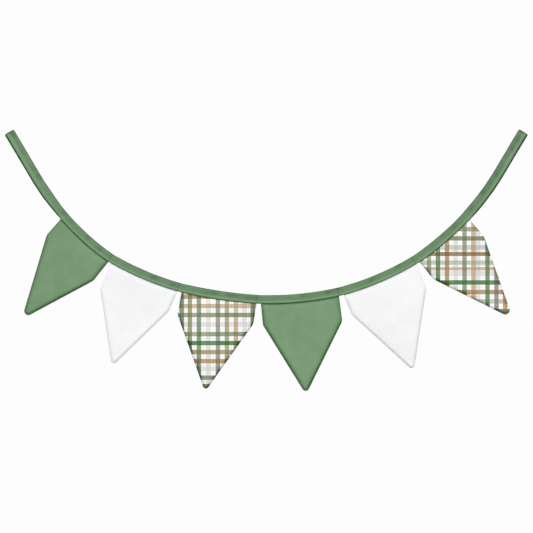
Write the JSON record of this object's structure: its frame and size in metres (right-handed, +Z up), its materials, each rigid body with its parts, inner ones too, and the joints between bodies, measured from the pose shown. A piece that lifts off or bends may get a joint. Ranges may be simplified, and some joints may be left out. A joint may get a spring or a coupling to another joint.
{
  "type": "fabric bunting",
  "caption": "Cloth bunting: double-layer cotton pennants with rounded tips, bound into a folded tape that hangs in a swag between its two ends.",
  "frame": {"origin": "on the back of the tape, in the middle of its left end", "axes": "+X along the bunting to its right end, +Z up, and +Y to the back, so the front faces -Y and the ends lie on the plane y = 0"},
  "size_m": [1.2015, 0.0107, 0.6005],
  "materials": {
    "tape_cotton": "matt folded cotton tape, sage green",
    "green_cotton": "matt plain-weave cotton, sage green",
    "white_cotton": "matt plain-weave cotton, white",
    "plaid_cotton": "matt printed cotton, green, tan and grey plaid on white"
  },
  "bodies": {
    "root": {"binding_tape": "tape_cotton", "pennant_1_green": "green_cotton", "pennant_2_white": "white_cotton", "pennant_3_plaid": "plaid_cotton", "pennant_4_green": "green_cotton", "pennant_5_white": "white_cotton", "pennant_6_plaid": "plaid_cotton"}
  },
  "joints": []
}
